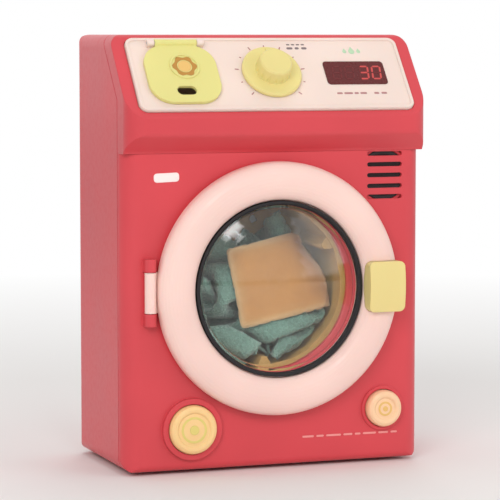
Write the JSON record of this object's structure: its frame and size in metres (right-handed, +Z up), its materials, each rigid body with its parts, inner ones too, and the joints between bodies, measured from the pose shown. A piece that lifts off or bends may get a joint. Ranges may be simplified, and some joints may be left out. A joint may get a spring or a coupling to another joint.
{
  "type": "toy washing machine",
  "caption": "Toy front-loading washing machine with a hinged round door, a turning drum, a program knob, a detergent lid, push buttons and a display on a sloping panel.",
  "frame": {"origin": "on the floor, under the centre of the machine's bounding box", "axes": "+Z up, -Y out of the front face with the door, +X to the right of someone facing the front"},
  "size_m": [0.175, 0.11, 0.24],
  "materials": {
    "red_abs": "gloss",
    "pink_abs": "gloss",
    "yellow_abs": "gloss",
    "drum_yellow": "gloss",
    "white_plastic": "matt",
    "frosted_plastic": "frosted",
    "black_plastic": "matt",
    "clear_window": "clear moulded plastic",
    "dark_lens": "gloss",
    "black_rubber": "matt",
    "grey_rubber": "matt",
    "steel": "plated",
    "cell_sleeve": "printed sleeve",
    "board": "solder mask",
    "teal_cloth": "woven",
    "orange_cloth": "woven"
  },
  "bodies": {
    "cabinet": {"front_shell": "red_abs", "mouth_ring": "red_abs", "rear_shell": "red_abs", "light_ring": "frosted_plastic", "ring_leds": "frosted_plastic", "control_panel": "pink_abs", "display_lens": "dark_lens", "display_module": "white_plastic", "main_board": "board", "board_screws": "steel", "rotary_switch": "black_plastic", "detergent_cup": "pink_abs", "lid_pin": "steel", "hinge_pin": "steel", "drum_bush": "white_plastic", "tub": "white_plastic", "tub_screws": "steel", "idler_pin": "steel", "motor": "steel", "gearbox_cover": "black_plastic", "gearbox_screws": "steel", "start_spring": "steel", "start_switch": "black_plastic", "start_bracket": "black_plastic", "sound_spring": "steel", "sound_switch": "black_plastic", "sound_bracket": "black_plastic", "bracket_screws": "steel", "speaker": "black_plastic", "speaker_clamp": "steel", "clamp_screws": "steel", "batteries": "cell_sleeve", "battery_contacts": "steel", "battery_cover": "red_abs", "battery_cover_screw": "steel", "housing_screws": "steel", "feet": "grey_rubber"},
    "door": {"door_front_ring": "pink_abs", "door_back_ring": "pink_abs", "door_window": "clear_window", "window_gasket": "black_rubber", "door_handle": "yellow_abs", "door_screws": "steel"},
    "drum": {"drum": "drum_yellow", "drum_back": "drum_yellow", "drum_axle": "steel", "drum_gear": "white_plastic", "laundry_towel": "teal_cloth", "laundry_cloth": "orange_cloth"},
    "idler": {"idler_gear": "white_plastic"},
    "motor_rotor": {"motor_shaft": "steel", "motor_pinion": "white_plastic"},
    "lid": {"detergent_lid": "yellow_abs"},
    "knob": {"program_knob": "yellow_abs", "knob_spindle": "steel"},
    "start_key": {"start_button": "yellow_abs"},
    "sound_key": {"sound_button": "yellow_abs"}
  },
  "joints": [
    {"name": "door_hinge", "type": "hinge", "parent": "cabinet", "child": "door", "pos_m": [-0.0735, -0.041, 0.101], "axis": [0, 0, -1], "range_deg": [0, 115]},
    {"name": "drum_spin", "type": "hinge", "parent": "cabinet", "child": "drum", "pos_m": [0, 0.023, 0.101], "axis": [0, 1, 0], "continuous": true},
    {"name": "idler_spin", "type": "hinge", "parent": "cabinet", "child": "idler", "pos_m": [0.03248, 0.035, 0.08225], "axis": [0, 1, 0], "continuous": true},
    {"name": "motor_spin", "type": "hinge", "parent": "cabinet", "child": "motor_rotor", "pos_m": [0.05737, 0.035, 0.06788], "axis": [0, 1, 0], "continuous": true},
    {"name": "lid_hinge", "type": "hinge", "parent": "cabinet", "child": "lid", "pos_m": [-0.052, -0.01889, 0.23557], "axis": [-1, 0, 0], "range_deg": [0, 105]},
    {"name": "knob_turn", "type": "hinge", "parent": "cabinet", "child": "knob", "pos_m": [0, -0.03287, 0.22117], "axis": [0, -0.774, 0.6332], "range_deg": [-140, 140]},
    {"name": "start_press", "type": "slide", "parent": "cabinet", "child": "start_key", "axis": [0, 1, 0], "range_m": [0, 0.0025], "stiffness_N_per_m": 600, "springref_m": -0.0005, "deforming": ["start_spring"]},
    {"name": "sound_press", "type": "slide", "parent": "cabinet", "child": "sound_key", "axis": [0, 1, 0], "range_m": [0, 0.0025], "stiffness_N_per_m": 500, "springref_m": -0.0005, "deforming": ["sound_spring"]}
  ],
  "couplings": [
    {"joint": "idler_spin", "follows": "drum_spin", "ratio": -4},
    {"joint": "motor_spin", "follows": "drum_spin", "ratio": 14.4}
  ]
}
